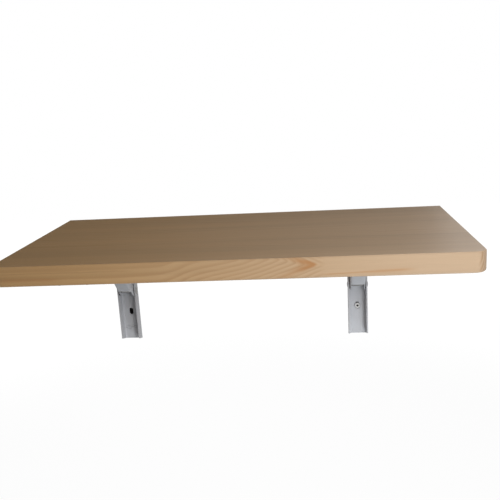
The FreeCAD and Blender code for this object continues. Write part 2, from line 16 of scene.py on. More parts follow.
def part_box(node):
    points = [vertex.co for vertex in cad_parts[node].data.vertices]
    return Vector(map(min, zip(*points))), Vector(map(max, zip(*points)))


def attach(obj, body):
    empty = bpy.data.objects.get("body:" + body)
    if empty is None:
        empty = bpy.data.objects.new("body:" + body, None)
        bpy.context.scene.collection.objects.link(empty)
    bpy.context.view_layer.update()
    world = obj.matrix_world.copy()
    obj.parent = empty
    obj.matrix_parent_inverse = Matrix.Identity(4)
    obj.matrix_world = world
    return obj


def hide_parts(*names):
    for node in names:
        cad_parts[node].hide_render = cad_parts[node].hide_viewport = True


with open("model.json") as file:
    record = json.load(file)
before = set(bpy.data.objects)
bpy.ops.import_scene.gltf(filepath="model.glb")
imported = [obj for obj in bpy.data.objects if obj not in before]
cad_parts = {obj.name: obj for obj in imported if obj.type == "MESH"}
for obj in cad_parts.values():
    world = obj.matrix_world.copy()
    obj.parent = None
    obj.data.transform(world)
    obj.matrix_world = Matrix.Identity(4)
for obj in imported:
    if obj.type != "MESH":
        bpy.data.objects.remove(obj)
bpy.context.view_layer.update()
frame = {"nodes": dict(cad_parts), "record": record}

bl_info = {
    "name": "Drop leaf table",
    "version": (1, 0, 0),
    "blender": (4, 5, 0),
    "location": "3D View > Sidebar > Table",
    "description": "Finishes and small fasteners of a wall mounted drop leaf table",
    "category": "Object",
}

LEAF_LOW, LEAF_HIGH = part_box("tabletop")
SIDES = ("left", "right")
MM = 1000.0


def colour_setting(name, description, default):
    """Colour that a user may change."""
    return FloatVectorProperty(
        name=name, description=description, default=default, subtype="COLOR", size=3, min=0, max=1
    )


def length_setting(name, description, default):
    """Length in metres that a user may change."""
    return FloatProperty(name=name, description=description, default=default, unit="LENGTH", precision=4)


def share_setting(name, description, default):
    """Share from 0 to 1 that a user may change."""
    return FloatProperty(
        name=name, description=description, default=default, subtype="FACTOR", min=0, max=1
    )


def place_setting(name, description, default):
    """Place in metres that a user may change."""
    return FloatVectorProperty(
        name=name, description=description, default=default, subtype="TRANSLATION", size=3
    )


def power_setting(name, description, default):
    """Lamp's power in watts that a user may change."""
    return FloatProperty(name=name, description=description, default=default, unit="POWER")


def angle_setting(name, description, degrees):
    """Angle that a user may change."""
    return FloatProperty(
        name=name, description=description, default=math.radians(degrees), subtype="ANGLE"
    )


class LeafSettings(PropertyGroup):
    """Wood of the leaf."""

    # Golden at the left end and pale at the right end: partly the wood's own tone, partly painted light.
    golden_wood: colour_setting("Golden wood", "Early wood at the left end", (0.56, 0.335, 0.14))
    pale_wood: colour_setting("Pale wood", "Early wood at the right end", (0.575, 0.415, 0.275))
    late_wood: colour_setting("Late wood", "Dark line of each ring", (0.36, 0.18, 0.075))
    flame: colour_setting("Flame", "Orange wood of the figure in the front edge", (0.45, 0.21, 0.075))
    ring_spacing: length_setting("Ring spacing", "Between ring lines on the long faces", 0.0063)
    end_spacing: length_setting("End spacing", "Between ring lines in the end grain", 0.0026)
    strip_width: length_setting("Strip width", "Strips that the leaf is glued up from", 0.062)
    figure_place: length_setting("Figure place", "Tip of the front edge's figure, along X", 0.125)
    figure_height: length_setting("Figure height", "Tip of the figure above the underside", 0.017)
    gloss: share_setting("Gloss", "How smooth the oiled surface is", 0.62)


class SteelSettings(PropertyGroup):
    """Finishes of the brackets and their small parts."""

    paint: colour_setting("Paint", "Light grey paint of legs, arms and braces", (0.62, 0.63, 0.655))
    rubbed: colour_setting("Rubbed paint", "Paint where it is scuffed", (0.34, 0.345, 0.355))
    scuff_along: length_setting("Scuff along X", "Where the left leg is scuffed, along X", -0.193)
    scuff_up: length_setting("Scuff height", "Where the left leg is scuffed, along Z", -0.111)
    # Painted shade: the colour that the paint's inner corners are darkened to.
    corner_shade: colour_setting("Painted corner shade", "Paint in the sheet's inner corners", (0.16, 0.155, 0.15))
    zinc: colour_setting("Zinc", "Plated rivets and screws", (0.74, 0.74, 0.73))
    pin: colour_setting("Pin steel", "Pins, dulled by oil and use", (0.28, 0.275, 0.265))
    # Painted shade: the colour that the hollows of pins, rivets and screws are darkened to.
    hollow_shade: colour_setting("Hollow shade", "Painted shade in the metal's hollows", (0.03, 0.028, 0.026))
    spring: colour_setting("Spring steel", "Catch strips under the arms", (0.42, 0.43, 0.45))
    nylon: colour_setting("Nylon", "Washers and sleeves", (0.05, 0.05, 0.052))


class ScrewSettings(PropertyGroup):
    """Sizes of the screws."""

    wall_head: length_setting("Wall screw head", "Head diameter of the wall screw", 0.0095)
    wall_head_height: length_setting("Wall screw head height", "Height of that head", 0.0026)
    wall_shank: length_setting("Wall screw shank", "Diameter of its shank", 0.0050)
    wall_lift: length_setting("Wall screw lift", "Screw above the middle of its slot", 0.0003)
    web: length_setting("Leg steel", "Thickness of the wall leg's steel", 0.0020)
    wood_head: length_setting("Wood screw head", "Head diameter of the arm's screws", 0.0080)
    wood_head_height: length_setting("Wood screw head height", "Height of those heads", 0.0026)
    wood_shank: length_setting("Wood screw shank", "Diameter over their thread", 0.0045)
    wood_point: length_setting("Wood screw point", "Length of their point", 0.0040)
    pitch: length_setting("Pitch", "Rise of the thread in one turn", 0.0018)


class StageSettings(PropertyGroup):
    """Floor, light and camera."""

    floor_height: length_setting("Floor height", "Floor below the upper wall holes", -0.665)
    floor_reach: length_setting("Floor reach", "From the floor's middle to each edge", 4.0)
    floor: colour_setting("Floor", "Colour of the pale floor", (0.86, 0.86, 0.86))
    # Painted shade: a dark patch behind each lower slot stands in for the shade seen through it.
    shade_patch_width: length_setting("Shade patch width", "Dark patch behind each lower slot, across", 0.0070)
    shade_patch_height: length_setting("Shade patch height", "Dark patch behind each lower slot, upright", 0.0120)
    shade_patch_depth: length_setting("Shade patch depth", "That patch behind the wall leg's steel", 0.0003)
    shade_patch_colour: colour_setting("Shade patch colour", "Colour of that patch", (0.012, 0.012, 0.012))
    room_light: share_setting("Room light", "Level of the light from all around", 0.10)
    card_left: length_setting("Card left", "Left edge of the dark card that the leaf mirrors", -2.5)
    card_edge: length_setting("Card edge", "Right edge of that card", 0.50)
    card_foot: length_setting("Card foot", "Lower edge of that card", 0.0)
    card_top: length_setting("Card top", "Upper edge of that card", 1.6)
    card_back: length_setting("Card back", "That card behind the wall's plane", 0.9)
    card_level: share_setting("Card level", "How bright that card is", 0.12)
    key_place: place_setting("Key place", "Where the soft lamp stands", (0.42, -0.95, 0.32))
    key_size: length_setting("Key size", "Side of the soft lamp", 0.25)
    key_power: power_setting("Key power", "Power of the soft lamp", 4.75)
    low_place: place_setting("Low lamp place", "Where the low lamp stands", (0.36, -0.45, -0.45))
    low_size: length_setting("Low lamp size", "Side of the low lamp", 0.3)
    low_power: power_setting("Low lamp power", "Power of the low lamp", 1.4)
    low_colour: colour_setting("Low lamp colour", "Cool tint of the low lamp", (0.92, 0.96, 1.0))
    top_place: place_setting("Top lamp place", "Where the top lamp hangs", (0.42, 0.00, 0.75))
    top_size: length_setting("Top lamp size", "Side of the lamp above the leaf", 0.5)
    top_power: power_setting("Top lamp power", "Power of the lamp above the leaf", 1.1)
    back_place: place_setting("Back lamp place", "Where the back lamp stands", (-0.40, 1.30, 0.20))
    back_size: length_setting("Back lamp size", "Side of the lamp behind the table", 0.8)
    back_power: power_setting("Back lamp power", "Power of the lamp behind the table", 3.0)
    camera_place: place_setting(
        "Camera place", "Where the camera stands", (0.121865, -1.069577, 0.275099)
    )
    camera_pan: angle_setting("Camera pan", "Turn of the view away from +Y, to +X", -5.552)
    camera_tilt: angle_setting("Camera tilt", "Rise of the view above the horizon", -13.551)
    camera_roll: angle_setting("Camera roll", "Turn of the camera about its view", -3.288)
    camera_lens: FloatProperty(
        name="Camera lens", description="Focal length on a 36 mm wide frame", unit="CAMERA", default=48.596
    )


class TableSettings(PropertyGroup):
    """All that a user would change on the table."""

    leaf: PointerProperty(type=LeafSettings)
    steel: PointerProperty(type=SteelSettings)
    screws: PointerProperty(type=ScrewSettings)
    stage: PointerProperty(type=StageSettings)


class Reading:
    """A number read over a surface. Arithmetic on readings adds Math nodes to their finish."""

    def __init__(self, finish, socket):
        self.finish = finish
        self.socket = socket

    def worked(self, operation, *terms):
        return self.finish.reading("ShaderNodeMath", {"operation": operation}, dict(enumerate(terms)))

    def __add__(self, other):
        return self.worked("ADD", self, other)

    def __radd__(self, other):
        return self.worked("ADD", other, self)

    def __sub__(self, other):
        return self.worked("SUBTRACT", self, other)

    def __rsub__(self, other):
        return self.worked("SUBTRACT", other, self)

    def __mul__(self, other):
        return self.worked("MULTIPLY", self, other)

    def __rmul__(self, other):
        return self.worked("MULTIPLY", other, self)

    def __truediv__(self, other):
        return self.worked("DIVIDE", self, other)

    def __rtruediv__(self, other):
        return self.worked("DIVIDE", other, self)

    def __abs__(self):
        return self.worked("ABSOLUTE", self)

    def squared(self):
        return self.worked("MULTIPLY", self, self)

    def root(self):
        return self.worked("SQRT", self)

    def whole(self):
        return self.worked("FLOOR", self)

    def part(self):
        return self.worked("FRACT", self)

    def larger(self, other):
        return self.worked("MAXIMUM", self, other)


class Finish:
    """Node tree of one finish, and the few steps that the finishes here are made of."""

    def __init__(self, tree):
        self.tree = tree
        tree.nodes.clear()

    def node(self, kind, settings=None, sockets=None):
        """New node: its settings first, then the values or links of its sockets."""
        node = self.tree.nodes.new(kind)
        for name, setting in (settings or {}).items():
            setattr(node, name, setting)
        for name, given in (sockets or {}).items():
            if isinstance(given, Reading):
                given = given.socket
            if isinstance(given, bpy.types.NodeSocket):
                self.tree.links.new(given, node.inputs[name])
            else:
                node.inputs[name].default_value = given
        return node

    def reading(self, kind, settings=None, sockets=None, output=0):
        """Number that a new node gives."""
        return Reading(self, self.node(kind, settings, sockets).outputs[output])

    def place(self):
        """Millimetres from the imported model's origin, as a vector."""
        spot = self.node("ShaderNodeTexCoord").outputs["Object"]
        return self.lit(spot, MM)

    def split(self, vector):
        """X, Y and Z of a vector."""
        parts = self.node("ShaderNodeSeparateXYZ", None, {0: vector})
        return [Reading(self, socket) for socket in parts.outputs]

    def noise(self, vector, rate, shift=0.0, detail=2.0):
        """Soft noise about zero. The rate gives its changes per millimetre along X, Y and Z."""
        terms = {0: vector, 1: rate, 2: (shift, shift, shift)}
        scaled = self.node("ShaderNodeVectorMath", {"operation": "MULTIPLY_ADD"}, terms).outputs[0]
        sockets = {"Vector": scaled, "Scale": 1.0, "Detail": detail}
        return self.reading("ShaderNodeTexNoise", None, sockets) - 0.5

    def rise(self, reading, low, high):
        """0 up to low, 1 from high, with a smooth rise between."""
        sockets = {"Value": reading, "From Min": low, "From Max": high}
        return self.reading("ShaderNodeMapRange", {"interpolation_type": "SMOOTHSTEP"}, sockets)

    def blend(self, share, first, second):
        """Colour that goes from the first to the second as the share goes from 0 to 1."""
        sockets = {0: share, 6: first, 7: second}
        return self.node("ShaderNodeMix", {"data_type": "RGBA"}, sockets).outputs[2]

    def lit(self, colour, level):
        """Colour, or another vector, times a level."""
        sockets = {0: colour, "Scale": level}
        return self.node("ShaderNodeVectorMath", {"operation": "SCALE"}, sockets).outputs[0]

    def hollow(self, reach, open_from, shut_from):
        """0 on open faces and 1 in the piece's own hollows, felt over a reach in millimetres."""
        settings = {"samples": 8, "only_local": True}
        openness = self.reading("ShaderNodeAmbientOcclusion", settings, {"Distance": reach / MM}, "AO")
        return self.rise(openness, open_from, shut_from)

    def seen(self):
        """1 for rays from the camera, straight, mirrored or through a clear face, and 0 for light."""
        path = self.node("ShaderNodeLightPath").outputs
        straight = Reading(self, path["Is Camera Ray"])
        mirrored = Reading(self, path["Is Glossy Ray"])
        through = Reading(self, path["Is Transmission Ray"])
        return straight.larger(mirrored).larger(through)

    def mixed(self, share, first, second):
        """Shader that goes from the first to the second as the share goes from 0 to 1."""
        return self.node("ShaderNodeMixShader", None, {0: share, 1: first, 2: second}).outputs[0]

    def one_sided(self, shader):
        """The shader on the front of a face, and nothing on its back."""
        clear = self.node("ShaderNodeBsdfTransparent").outputs[0]
        back = self.node("ShaderNodeNewGeometry").outputs["Backfacing"]
        return self.mixed(back, shader, clear)

    def show(self, shader):
        """Makes a shader the material's surface."""
        self.node("ShaderNodeOutputMaterial", None, {"Surface": shader})

    def surface(self, colour, roughness, height, depth, steady=None):
        """The finish's surface, with a bump of a depth in millimetres and its steady sockets."""
        relief = {"Strength": 1.0, "Distance": depth / MM, "Height": height}
        bump = self.node("ShaderNodeBump", None, relief).outputs[0]
        sockets = {"Base Color": colour, "Roughness": roughness, "Normal": bump, **(steady or {})}
        self.show(self.node("ShaderNodeBsdfPrincipled", None, sockets).outputs[0])


def new_finish(name):
    """Empty material and its finish."""
    material = bpy.data.materials.new(name)
    material.use_nodes = True
    return material, Finish(material.node_tree)


def solid(colour):
    """Colour setting as a socket takes it."""
    return (*colour, 1.0)


def ramp(reading, start, end, rounding):
    """Straight climb of 1 per millimetre from start to end, rounded at both."""
    first = reading - start
    last = reading - end
    climb = first + (first.squared() + rounding ** 2).root()
    return (climb - last - (last.squared() + rounding ** 2).root()) / 2


def ring_lines(finish, field, spacing):
    """Late wood of rings: each line darkens slowly and ends sharply."""
    phase = (field / spacing).part()
    darkening = finish.rise(phase, 0.2, 0.82)
    ending = finish.rise(phase, 1.0, 0.84)
    return darkening * ending


def lying_streak(finish, along, start, end, off, half_width):
    """Streak of wood along X, with soft ends, that fades to both sides of its line."""
    soft_start, soft_end = 14, 26
    near = 1 / (1 + (off / half_width).squared()).squared()
    return near * finish.rise(along, start, start + soft_start) * finish.rise(along, end, end - soft_end)


def oiled_pine(wood):
    """Pine glued up from strips along X, with an arched figure in the front edge."""
    material, finish = new_finish("oiled_pine")
    spot = finish.place()
    along, out, up = finish.split(spot)
    left, right = LEAF_LOW.x * MM, LEAF_HIGH.x * MM
    behind = out - LEAF_LOW.y * MM
    above = up - LEAF_LOW.z * MM
    tip = wood.figure_place * MM
    tip_height = wood.figure_height * MM
    before = tip - along
    front_reach = 30
    front = 1 / (1 + (behind / front_reach).squared())

    # Strips, each with rings of its own, the first one cut narrower at the front edge
    width = wood.strip_width * MM
    cut_share = 0.3
    strip = (behind / width + cut_share).whole()
    luck = finish.reading("ShaderNodeTexWhiteNoise", {"noise_dimensions": "1D"}, {"W": strip})

    # Rings of the long faces: lines along X, which rise to arches before the tip in the front edge
    axis = tip_height + 0.25 * ramp(before, 15, 150, 8)
    off_axis = ((above - axis).squared() + 2).root()
    spread = 1.4 - 0.7 * finish.rise(before, 90, 190)
    steepness = 0.8
    arch = steepness * ramp(before, -8, 105, 35) - steepness * spread * off_axis
    wander = finish.noise(spot, (0.006, 0.05, 0.05), shift=3.0)
    drift = finish.noise(spot, (0.0022, 0.016, 0.016), shift=23.0) * (1 - front)
    field = behind * 0.9 + luck * 37 + wander * 5 + drift * 70 - arch * front
    strength = 0.7 + 1.2 * finish.noise(spot, (0.004, 0.06, 0.06), shift=17.0)
    past_tip = front * finish.rise(before, 2, -12)
    lines = ring_lines(finish, field, wood.ring_spacing * MM) * strength * (1 - past_tip)

    # Rings of the end grain, on the ends and round the corners: arcs about a heart outside each strip
    across = behind - (strip - cut_share) * width
    mirrored = across + (strip / 2).part() * 2 * (width - 2 * across)
    heart = (mirrored + 20 + 8 * strip).squared() + (above - 22 + 14 * strip).squared()
    arcs = ring_lines(finish, heart.root() + wander * 3, wood.end_spacing * MM)
    facing = finish.node("ShaderNodeTexCoord").outputs["Normal"]
    end = finish.rise(abs(finish.split(facing)[0]), 0.15, 0.6)
    late = lines + end * (arcs - lines)

    # Broad streaks, fine fibres and pores
    streaks = finish.noise(spot, (0.0016, 0.03, 0.09), shift=11.0)
    fibres = finish.noise(spot, (0.03, 1.4, 1.4), shift=5.0, detail=3.0)
    pores = finish.rise(finish.noise(spot, (0.12, 3.0, 3.0), shift=7.0, detail=1.0), 0.18, 0.3)

    # Flame inside the tip, and single streaks in the front edge
    wobble = finish.noise(spot, (0.08, 0.08, 0.2), shift=2.0)
    inside = before - 2.4 * ((above - tip_height).squared() + 1).root() + 6 * wobble
    limbs = 1 - 0.65 * finish.rise(abs(above - tip_height), 3, 10)
    flame = finish.rise(inside, -6, 1) * finish.rise(inside, 24, 4) * limbs
    past_half = 0.9 + 1.2 * finish.rise(before, -45, -75)
    past = lying_streak(finish, along, tip + 2, tip + 120, above - 4.4 + 0.032 * before, past_half)
    warm = lying_streak(finish, along, left + 6, left + 98, above - 8 + 2 * wobble, 2.2)
    dark = lying_streak(finish, along, left - 2, left + 188, above - 16.5 + 2 * wobble, 0.8)
    shown = finish.rise(behind, 8, 1)

    # Golden towards the left end and paler towards the right end: partly the wood's own tone and partly
    # painted light, for the dimmer, warmer light on the left and the pale sheen on the right.
    towards_right_end = finish.rise(along, left, right)
    colour = finish.blend(towards_right_end, solid(wood.golden_wood), solid(wood.pale_wood))
    colour = finish.blend(late * (0.18 + 0.27 * shown + 0.2 * end), colour, solid(wood.late_wood))
    colour = finish.blend(dark * shown * 0.35, colour, solid(wood.late_wood))
    orange = 0.8 * flame + 0.5 * past + 0.45 * warm
    colour = finish.blend(orange * shown, colour, solid(wood.flame))
    level = 1 + 0.30 * streaks + 0.14 * fibres + 0.08 * (luck - 0.5) - 0.08 * pores - 0.12 * end
    roughness = 1 - wood.gloss + 0.08 * late + 0.12 * fibres + 0.15 * end
    height = 0.5 * fibres - 0.4 * pores + 0.25 * late
    finish.surface(finish.lit(colour, level), roughness, height, depth=0.10)
    return material


def grey_paint(steel):
    """Baked paint with a faint orange peel, clouding and a few scuffs, with painted shade in its inner
    corners.
    """
    material, finish = new_finish("grey_paint")
    spot = finish.place()
    along, _, up = finish.split(spot)
    clouds = finish.noise(spot, (0.045, 0.045, 0.045), shift=1.0, detail=3.0)
    peel = finish.noise(spot, (0.9, 0.9, 0.9), shift=4.0, detail=1.0)

    # Thin scuffs in patches, and a knock near the left leg's foot
    lines = finish.rise(finish.noise(spot, (0.05, 0.3, 1.3), shift=9.0, detail=1.0), 0.17, 0.26)
    patches = finish.rise(finish.noise(spot, (0.04, 0.04, 0.06), shift=6.0, detail=1.0), 0.06, 0.2)
    knock_width, knock_height = 12, 5
    aside = (along - steel.scuff_along * MM) / knock_width
    above = (up - steel.scuff_up * MM) / knock_height
    broken = finish.rise(finish.noise(spot, (0.2, 0.2, 0.5), shift=3.0, detail=1.0), 0.0, 0.15)
    knock = finish.rise(aside.squared() + above.squared(), 1.3, 0.3) * broken
    scuffs = (lines * patches).larger(knock)

    colour = finish.blend(scuffs * 0.5, solid(steel.paint), solid(steel.rubbed))
    # Painted shade: the paint darkens in the sheet's own inner corners, where shade falls.
    painted_shade = 0.65 * finish.hollow(reach=8, open_from=0.65, shut_from=0.42)
    colour = finish.blend(painted_shade, colour, solid(steel.corner_shade))
    level = 1 + 0.12 * clouds
    roughness = 0.58 + 0.12 * clouds + 0.15 * scuffs
    steady = {"Specular IOR Level": 0.35}
    finish.surface(finish.lit(colour, level), roughness, peel - scuffs, depth=0.03, steady=steady)
    return material


def cloudy_metal(name, colour, roughness, hollow_shade):
    """Cloudy, slightly crystalline metal with painted shade in its hollows."""
    material, finish = new_finish(name)
    spot = finish.place()
    clouds = finish.noise(spot, (0.35, 0.35, 0.35), shift=2.0, detail=3.0)
    grains = finish.noise(spot, (3.0, 3.0, 3.0), shift=8.0, detail=1.0)
    # Painted shade: the metal darkens in its own hollows, such as a screw's cross recess, where shade
    # falls.
    hollow = finish.hollow(reach=3, open_from=0.85, shut_from=0.62)
    unshaded_metal = finish.lit(colour, 1 + 0.25 * clouds + 0.12 * grains)
    shown = finish.blend(hollow, unshaded_metal, solid(hollow_shade))
    roughness = roughness + 0.2 * clouds + 0.3 * hollow
    finish.surface(shown, roughness, grains, depth=0.01, steady={"Metallic": 1.0})
    return material


def bright_zinc(steel):
    """Zinc plate of rivets and screws."""
    return cloudy_metal("bright_zinc", steel.zinc, roughness=0.34, hollow_shade=steel.hollow_shade)


def oiled_steel(steel):
    """Dull steel of the pins."""
    return cloudy_metal("oiled_steel", steel.pin, roughness=0.5, hollow_shade=steel.hollow_shade)


def spring_steel(steel):
    """Rolled spring strip, with its lines along the arm."""
    material, finish = new_finish("spring_steel")
    spot = finish.place()
    lines = finish.noise(spot, (2.2, 0.03, 2.2), shift=3.0)
    clouds = finish.noise(spot, (0.12, 0.05, 0.12), shift=5.0)
    level = 1 + 0.3 * lines + 0.3 * clouds
    roughness = 0.36 + 0.2 * lines
    finish.surface(finish.lit(steel.spring, level), roughness, lines, depth=0.01, steady={"Metallic": 1.0})
    return material


def moulded_nylon(steel):
    """Black nylon with a fine moulded grain."""
    material, finish = new_finish("moulded_nylon")
    spot = finish.place()
    grain = finish.noise(spot, (2.5, 2.5, 2.5), shift=1.0)
    clouds = finish.noise(spot, (0.2, 0.2, 0.2), shift=4.0, detail=1.0)
    colour = finish.lit(steel.nylon, 1 + 0.08 * clouds + 0.05 * grain)
    finish.surface(colour, 0.45 + 0.15 * clouds, grain, depth=0.02)
    return material


def dress(nodes, material):
    """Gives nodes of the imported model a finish."""
    for name in nodes:
        slots = frame["nodes"][name].data.materials
        slots.clear()
        slots.append(material)


def both(*pieces):
    """Names of pieces that each bracket has."""
    return [f"{side}_{piece}" for side in SIDES for piece in pieces]


def new_object(name, data):
    """Object in the scene."""
    made = bpy.data.objects.new(name, data)
    bpy.context.scene.collection.objects.link(made)
    return made


def new_piece(name, mesh, material, body):
    """Piece that rides on a body and takes the given finish."""
    mesh.materials.append(material)
    piece = new_object(name, mesh)
    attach(piece, body)
    return piece


def skin(made, rows):
    """Faces between closed rows of points, given from top to bottom, and over both ends."""
    count = len(rows[0])
    for upper, lower in zip(rows, rows[1:]):
        for step in range(count):
            after = (step + 1) % count
            made.faces.new((upper[step], lower[step], lower[after], upper[after]))
    made.faces.new(rows[0])
    made.faces.new(reversed(rows[-1]))


def finished_mesh(name, made):
    """Mesh of what was made."""
    mesh = bpy.data.meshes.new(name)
    made.to_mesh(mesh)
    made.free()
    return mesh


def turned_mesh(name, outline, turns=32):
    """Closed mesh turned about Z. The outline gives, from the top, a height and a radius at an angle."""
    made = bmesh.new()
    angles = [2 * math.pi * step / turns for step in range(turns)]
    rows = []
    for height, radius in outline:
        polar = [(radius(angle), angle) for angle in angles]
        rows.append([made.verts.new((r * math.cos(a), r * math.sin(a), height)) for r, a in polar])
    skin(made, rows)
    return finished_mesh(name, made)


def thread_radius(height, core, crest, pitch):
    """Radius of a sharp thread at a height, as a function of the angle."""
    flank = 0.3

    def radius(angle):
        phase = (height / pitch - angle / (2 * math.pi)) % 1
        return core + (crest - core) * max(0.0, 1 - abs(phase - 0.5) / flank)
    return radius


def screw_mesh(name, head, head_height, shank, length, point, pitch):
    """Pan head screw with a cross recess. Its seat is at Z = 0, and its head is above."""
    crown_steps = 12
    crown_shape = 0.5
    core_share = 0.36
    blunt_share = 0.08
    rows_per_turn = 6
    recess_reach = head * 0.27
    recess_half = head * 0.10
    outline = []
    for step in range(1, crown_steps + 1):
        turn = math.pi / 2 * step / crown_steps
        reach = head / 2 * math.sin(turn) ** crown_shape
        height = head_height * max(0.0, math.cos(turn)) ** crown_shape
        outline.append((height, lambda angle, reach=reach: reach))
    core = shank * core_share
    rows = max(2, round(length / pitch * rows_per_turn))
    for step in range(rows + 1):
        depth = length * step / rows
        taper = min(1.0, (length - depth) / point + blunt_share) if point else 1.0
        outline.append((-depth, thread_radius(-depth, core * taper, shank / 2 * taper, pitch)))
    return cut_recess(turned_mesh(name, outline), recess_reach, recess_half, head_height)


def cross_outline(reach, half):
    """Corners of a plus sign, in order."""
    corners = []
    for turn in range(4):
        spin = Matrix.Rotation(math.pi / 2 * turn, 2)
        for corner in ((reach, -half), (reach, half), (half, half)):
            corners.append(spin @ Vector(corner))
    return corners


def cut_recess(mesh, reach, half, head_height):
    """Cuts a tapered cross recess into a screw's head."""
    mouth = (head_height * 1.2, reach)
    bottom = (head_height * 0.15, reach * 0.5)
    cutter = bmesh.new()
    rows = []
    for height, arm in (mouth, bottom):
        rows.append([cutter.verts.new((*corner, height)) for corner in cross_outline(arm, half)])
    skin(cutter, rows)

    blank = new_object("screw_blank", mesh)
    tool = new_object("recess_cutter", finished_mesh("recess", cutter))
    cut = blank.modifiers.new("recess", "BOOLEAN")
    cut.object = tool
    cut.operation = "DIFFERENCE"
    cut.solver = "EXACT"
    shaped = blank.evaluated_get(bpy.context.evaluated_depsgraph_get())
    result = bpy.data.meshes.new_from_object(shaped)
    for item in (blank, tool):
        bpy.data.objects.remove(item)
    return result


def set_out(name, source, places, sharp_from=math.radians(32)):
    """One mesh with a copy of the source at each place, smooth up to its sharp edges."""
    made = bmesh.new()
    for place in places:
        copy = source.copy()
        copy.transform(place)
        made.from_mesh(copy)
        bpy.data.meshes.remove(copy)
    mesh = finished_mesh(name, made)
    mesh.shade_smooth()
    mesh.set_sharp_from_angle(angle=sharp_from)
    return mesh


def slot_place(side):
    """Middle of a leg's lower slot, on the wall."""
    low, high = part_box(f"{side}_wall_leg")
    slots = next(mount for mount in frame["record"]["mounts"] if mount["name"] == "lower_wall_slots")
    return Vector(((low.x + high.x) / 2, high.y, slots["pos_m"][2]))


def table_settings(context):
    """Settings of the scene's table."""
    return context.scene.drop_leaf_table


class FinishLeaf(Operator):
    """Gives the leaf its oiled pine"""

    bl_idname = "drop_leaf_table.finish_leaf"
    bl_label = "Finish leaf"

    def execute(self, context):
        dress(["tabletop"], oiled_pine(table_settings(context).leaf))
        return {"FINISHED"}


class FinishBrackets(Operator):
    """Paints the wall legs, arms and braces"""

    bl_idname = "drop_leaf_table.finish_brackets"
    bl_label = "Finish brackets"

    def execute(self, context):
        dress(both("wall_leg", "arm", "brace"), grey_paint(table_settings(context).steel))
        return {"FINISHED"}


class FinishPins(Operator):
    """Gives the pins their dull steel and the catch rivets their zinc"""

    bl_idname = "drop_leaf_table.finish_pins"
    bl_label = "Finish pins"

    def execute(self, context):
        steel = table_settings(context).steel
        dress(both("hinge_pin", "brace_pin", "slide_pin"), oiled_steel(steel))
        dress(both("catch_rivets"), bright_zinc(steel))
        return {"FINISHED"}


class FinishCatches(Operator):
    """Gives the catch springs their rolled steel"""

    bl_idname = "drop_leaf_table.finish_catches"
    bl_label = "Finish catches"

    def execute(self, context):
        dress(both("catch_spring"), spring_steel(table_settings(context).steel))
        return {"FINISHED"}


class FinishWashers(Operator):
    """Gives washers and sleeves their nylon"""

    bl_idname = "drop_leaf_table.finish_washers"
    bl_label = "Finish washers"

    def execute(self, context):
        material = moulded_nylon(table_settings(context).steel)
        dress(both("hinge_washers", "brace_washers", "slide_sleeves"), material)
        return {"FINISHED"}


class AddWoodScrews(Operator):
    """Adds the threaded screws that hold the arms to the leaf"""

    bl_idname = "drop_leaf_table.add_wood_screws"
    bl_label = "Add wood screws"

    def execute(self, context):
        sizes = table_settings(context).screws
        material = bright_zinc(table_settings(context).steel)
        head_down = Matrix.Rotation(math.pi, 4, "X")
        turn_step = 0.7
        for side in SIDES:
            low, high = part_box(f"{side}_arm_screws")
            length = high.z - low.z - sizes.wood_head_height
            screw = screw_mesh(
                "wood_screw", sizes.wood_head, sizes.wood_head_height, sizes.wood_shank, length,
                sizes.wood_point, sizes.pitch,
            )
            inset = sizes.wood_head / 2
            seat = low.z + sizes.wood_head_height
            places = []
            for x in (low.x + inset, high.x - inset):
                for y in (low.y + inset, high.y - inset):
                    turn = Matrix.Rotation(turn_step * len(places), 4, "Z")
                    places.append(Matrix.Translation((x, y, seat)) @ head_down @ turn)
            mesh = set_out(f"{side}_wood_screws", screw, places)
            piece = new_piece(f"{side}_wood_screws", mesh, material, "leaf")
            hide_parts(f"{side}_arm_screws")
        return {"FINISHED"}


class AddWallScrew(Operator):
    """Adds the pan head screw in the right leg's slot"""

    bl_idname = "drop_leaf_table.add_wall_screw"
    bl_label = "Add wall screw"

    def execute(self, context):
        sizes = table_settings(context).screws
        no_point = 0
        screw = screw_mesh(
            "wall_screw", sizes.wall_head, sizes.wall_head_height, sizes.wall_shank, sizes.web,
            no_point, sizes.pitch,
        )
        seat = slot_place("right") + Vector((0, -sizes.web, sizes.wall_lift))
        head_out = Matrix.Rotation(math.pi / 2, 4, "X")
        turn = Matrix.Rotation(math.radians(20), 4, "Z")
        mesh = set_out("right_wall_screw", screw, [Matrix.Translation(seat) @ head_out @ turn])
        material = bright_zinc(table_settings(context).steel)
        new_piece("right_wall_screw", mesh, material, "wall_mount")
        return {"FINISHED"}


def slot_outline(middle, width, height, steps=24):
    """Upright slot with round ends, about its middle."""
    radius = width / 2
    straight = height / 2 - radius
    outline = []
    for step in range(steps):
        turn = 2 * math.pi * (step + 0.5) / steps
        rise = radius * math.sin(turn)
        corner = Vector((radius * math.cos(turn), 0, rise + math.copysign(straight, rise)))
        outline.append(middle + corner)
    return outline


def new_backdrop(name, corners, material):
    """Flat stage piece."""
    mesh = bpy.data.meshes.new(name)
    mesh.from_pydata(corners, [], [range(len(corners))])
    mesh.materials.append(material)
    backdrop = new_object(name, mesh)
    return backdrop


def pale_floor(stage):
    """Pale floor that looks white to the camera, keeps a soft shadow and can't be seen from below."""
    white_level = 1.06
    white_near = 0.9
    near, far = 900, 2200
    material, finish = new_finish("pale_floor")
    along, out, _ = finish.split(finish.place())
    away = finish.rise((along.squared() + out.squared()).root(), near, far)
    white_share = finish.seen() * (white_near + (1 - white_near) * away)
    matt = finish.node("ShaderNodeBsdfDiffuse", None, {"Color": solid(stage.floor)}).outputs[0]
    white = finish.node("ShaderNodeEmission", None, {"Strength": white_level}).outputs[0]
    finish.show(finish.one_sided(finish.mixed(white_share, matt, white)))
    return material


